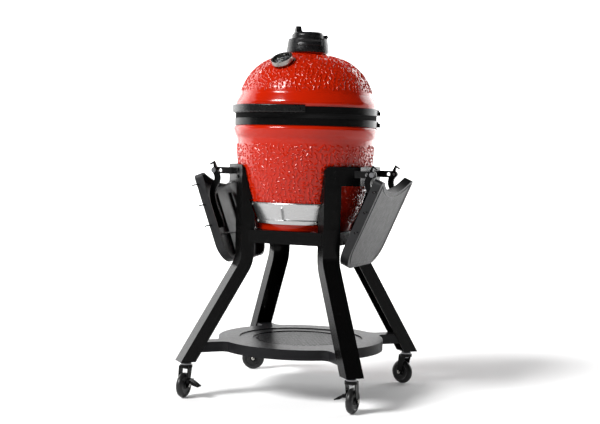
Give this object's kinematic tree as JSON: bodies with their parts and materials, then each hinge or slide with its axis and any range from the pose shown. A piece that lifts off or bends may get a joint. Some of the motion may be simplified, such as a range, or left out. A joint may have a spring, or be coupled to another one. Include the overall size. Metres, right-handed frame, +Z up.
{
  "type": "kamado ceramic grill",
  "caption": "Red egg-shaped ceramic charcoal grill with hinged dome, top vent and draft door, on a black splayed-leg cart with casters and fold-down side shelves.",
  "frame": {"origin": "on the floor below the vertical axis of the ceramic body", "axes": "+Z up, -Y is the front with the handle and the draft door, +X is the right side of someone facing the front"},
  "size_m": [0.5811, 0.5794, 1.06],
  "materials": {
    "red_glaze": "glossy red glaze over an embossed grain",
    "firebrick": "matte unglazed",
    "felt": "dense black felt",
    "black_steel": "satin black powder coat",
    "vent_casting": "dark grey textured paint on cast aluminium",
    "stainless": "brushed stainless",
    "bright_steel": "polished",
    "zinc_steel": "dull zinc plated",
    "grate_iron": "raw seasoned",
    "grate_steel": "plain stainless rod",
    "shelf_plastic": "moulded, fine grain",
    "tray_steel": "satin black powder coat",
    "handle_black": "black, smooth",
    "dial_face": "pale satin",
    "dial_needle": "black",
    "lens": "clear",
    "tyre": "dark, satin",
    "arm_steel": "grey satin"
  },
  "bodies": {
    "stand": {"base_shell": "red_glaze", "fire_box": "firebrick", "fire_ring": "firebrick", "heat_deflector": "firebrick", "base_gasket": "felt", "lower_band": "black_steel", "charcoal_grate": "grate_iron", "grate_rack": "grate_steel", "cooking_grate": "grate_steel", "draft_frame": "stainless", "draft_rivets": "bright_steel", "side_plate_left": "black_steel", "side_plate_right": "black_steel", "lower_rails": "black_steel", "plate_bolts": "black_steel", "bottom_tray": "tray_steel", "shelf_arms_left": "arm_steel", "shelf_arms_right": "arm_steel", "shelf_pins": "zinc_steel", "hinge_lower_bracket": "black_steel", "hinge_pin": "zinc_steel", "hinge_springs": "zinc_steel", "caster_stems": "zinc_steel", "leg_front_right": "black_steel", "leg_front_left": "black_steel", "leg_back_right": "black_steel", "leg_back_left": "black_steel"},
    "lid": {"dome_shell": "red_glaze", "upper_band": "black_steel", "dome_gasket": "felt", "front_handle": "handle_black", "handle_bolts": "black_steel", "hinge_upper_bracket": "black_steel", "chimney_ring": "vent_casting", "thermometer_case": "bright_steel", "thermometer_dial": "dial_face", "thermometer_lens": "lens", "thermometer_stem": "stainless"},
    "vent_cap": {"vent_cap": "vent_casting"},
    "vent_dial": {"vent_dial": "vent_casting"},
    "needle": {"thermometer_needle": "dial_needle"},
    "draft_door": {"draft_door": "stainless"},
    "shelf_left": {"shelf_panel_left": "shelf_plastic", "shelf_struts_left": "black_steel", "shelf_pegs_left": "black_steel"},
    "shelf_right": {"shelf_panel_right": "shelf_plastic", "shelf_struts_right": "black_steel", "shelf_pegs_right": "black_steel"},
    "swivel_front_right": {"caster_fork_front_right": "black_steel"},
    "wheel_front_right": {"caster_wheel_front_right": "tyre"},
    "swivel_front_left": {"caster_fork_front_left": "black_steel"},
    "wheel_front_left": {"caster_wheel_front_left": "tyre"},
    "swivel_back_right": {"caster_fork_back_right": "black_steel"},
    "wheel_back_right": {"caster_wheel_back_right": "tyre"},
    "swivel_back_left": {"caster_fork_back_left": "black_steel"},
    "wheel_back_left": {"caster_wheel_back_left": "tyre"},
    "brake_front_left": {"brake_lever_front_left": "black_steel"},
    "brake_front_right": {"brake_lever_front_right": "black_steel"}
  },
  "joints": [
    {"name": "lid_hinge", "type": "hinge", "parent": "stand", "child": "lid", "pos_m": [0.08195, 0.21918, 0.799], "axis": [-0.9367, 0.3502, 0], "range_deg": [0, 75]},
    {"name": "vent_cap_hinge", "type": "hinge", "parent": "lid", "child": "vent_cap", "pos_m": [0.03571, 0.03571, 1.0315], "axis": [-0.7071, 0.7071, 0], "range_deg": [0, 80]},
    {"name": "vent_dial_turn", "type": "hinge", "parent": "vent_cap", "child": "vent_dial", "pos_m": [0, 0, 1.04], "axis": [0, 0, 1], "range_deg": [0, 60]},
    {"name": "needle_turn", "type": "hinge", "parent": "lid", "child": "needle", "pos_m": [-0.02143, -0.14341, 0.9616], "axis": [0.0814, 0.5444, -0.8348], "range_deg": [0, 230]},
    {"name": "draft_door_slide", "type": "hinge", "parent": "stand", "child": "draft_door", "pos_m": [0, 0, 0.525], "axis": [0, 0, 1], "range_deg": [0, 33]},
    {"name": "right_shelf_hinge", "type": "hinge", "parent": "stand", "child": "shelf_right", "pos_m": [0.242, 0, 0.64], "axis": [0, -1, 0], "range_deg": [0, 113.8]},
    {"name": "left_shelf_hinge", "type": "hinge", "parent": "stand", "child": "shelf_left", "pos_m": [-0.242, 0, 0.64], "axis": [0, 1, 0], "range_deg": [0, 110.4]},
    {"name": "swivel_front_right", "type": "hinge", "parent": "stand", "child": "swivel_front_right", "pos_m": [0.24749, -0.24749, 0.088], "axis": [0, 0, 1], "continuous": true},
    {"name": "wheel_spin_front_right", "type": "hinge", "parent": "swivel_front_right", "child": "wheel_front_right", "pos_m": [0.24794, -0.2345, 0.0355], "axis": [-0.9994, 0.0349, 0], "continuous": true},
    {"name": "brake_front_right_tilt", "type": "hinge", "parent": "swivel_front_right", "child": "brake_front_right", "pos_m": [0.227, -0.24677, 0.049], "axis": [0.0349, 0.9994, 0], "range_deg": [-15, 15]},
    {"name": "swivel_front_left", "type": "hinge", "parent": "stand", "child": "swivel_front_left", "pos_m": [-0.24749, -0.24749, 0.088], "axis": [0, 0, 1], "continuous": true},
    {"name": "wheel_spin_front_left", "type": "hinge", "parent": "swivel_front_left", "child": "wheel_front_left", "pos_m": [-0.24749, -0.26049, 0.0355], "axis": [1, 0, 0], "continuous": true},
    {"name": "brake_front_left_tilt", "type": "hinge", "parent": "swivel_front_left", "child": "brake_front_left", "pos_m": [-0.22699, -0.24749, 0.049], "axis": [0, -1, 0], "range_deg": [-15, 15]},
    {"name": "swivel_back_right", "type": "hinge", "parent": "stand", "child": "swivel_back_right", "pos_m": [0.24749, 0.24749, 0.088], "axis": [0, 0, 1], "continuous": true},
    {"name": "wheel_spin_back_right", "type": "hinge", "parent": "swivel_back_right", "child": "wheel_back_right", "pos_m": [0.23535, 0.25215, 0.0355], "axis": [-0.3584, -0.9336, 0], "continuous": true},
    {"name": "swivel_back_left", "type": "hinge", "parent": "stand", "child": "swivel_back_left", "pos_m": [-0.24749, 0.24749, 0.088], "axis": [0, 0, 1], "continuous": true},
    {"name": "wheel_spin_back_left", "type": "hinge", "parent": "swivel_back_left", "child": "wheel_back_left", "pos_m": [-0.25954, 0.24262, 0.0355], "axis": [0.3746, -0.9272, 0], "continuous": true}
  ]
}
